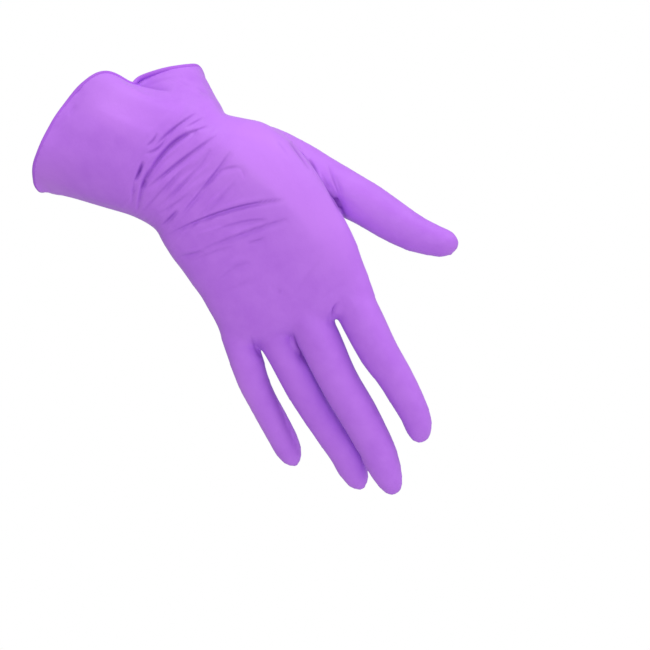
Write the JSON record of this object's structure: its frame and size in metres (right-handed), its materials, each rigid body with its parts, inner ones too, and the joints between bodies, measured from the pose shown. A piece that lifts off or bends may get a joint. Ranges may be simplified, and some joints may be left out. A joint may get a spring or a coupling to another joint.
{
  "type": "disposable glove",
  "caption": "Thin seamless nitrile glove in its worn form, with a flared cuff, a rolled bead at the rim and wrist creases.",
  "frame": {"origin": "middle of the wrist, inside the glove", "axes": "+Z from the fingers to the cuff, -Y out of the back of the hand, +X towards the thumb"},
  "size_m": [0.1659, 0.0657, 0.2401],
  "materials": {
    "film": "satin nitrile film with a fine skin texture",
    "bead": "satin nitrile, rolled up several layers thick"
  },
  "bodies": {
    "root": {"glove_film": "film", "cuff_bead": "bead"}
  },
  "joints": []
}
